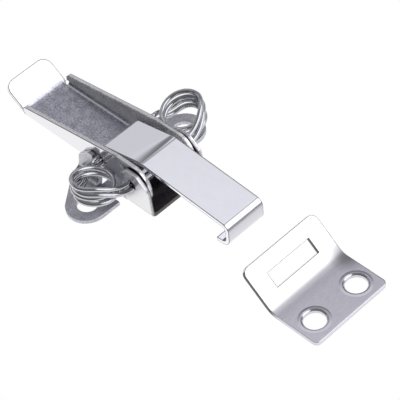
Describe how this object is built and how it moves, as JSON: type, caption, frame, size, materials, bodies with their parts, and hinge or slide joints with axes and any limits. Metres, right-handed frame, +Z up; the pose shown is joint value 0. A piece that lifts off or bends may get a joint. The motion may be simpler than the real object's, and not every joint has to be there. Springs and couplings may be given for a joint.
{
  "type": "spring latch",
  "caption": "Spring-loaded draw latch of folded sheet, with a channel lever, a hook blade, side coil springs and a slotted keeper plate.",
  "frame": {"origin": "on the mounting plane, midway between the two ear holes of the base", "axes": "+X from the handle toward the keeper, +Y across the latch, +Z up from the mounting plane"},
  "size_m": [0.1268, 0.0496, 0.0148],
  "materials": {
    "base_sheet": "tumbled stainless sheet",
    "lever_sheet": "tumbled stainless sheet",
    "hook_strip": "polished strip",
    "spring_wire": "bright drawn wire",
    "keeper_sheet": "polished stainless sheet"
  },
  "bodies": {
    "mounting": {"base": "base_sheet", "keeper_plate": "keeper_sheet"},
    "lever": {"lever": "lever_sheet", "spring_upper": "spring_wire", "spring_lower": "spring_wire"},
    "hook": {"draw_hook": "hook_strip"}
  },
  "joints": [
    {"name": "lever_swing", "type": "hinge", "parent": "mounting", "child": "lever", "pos_m": [0.0103, 0, 0.0091], "axis": [0, 1, 0], "range_deg": [0, 100]},
    {"name": "hook_swing", "type": "hinge", "parent": "lever", "child": "hook", "pos_m": [-0.0032, 0, 0.0089], "axis": [0, 1, 0], "range_deg": [-100, 0]}
  ],
  "couplings": [
    {"joint": "hook_swing", "follows": "lever_swing", "ratio": -1}
  ]
}
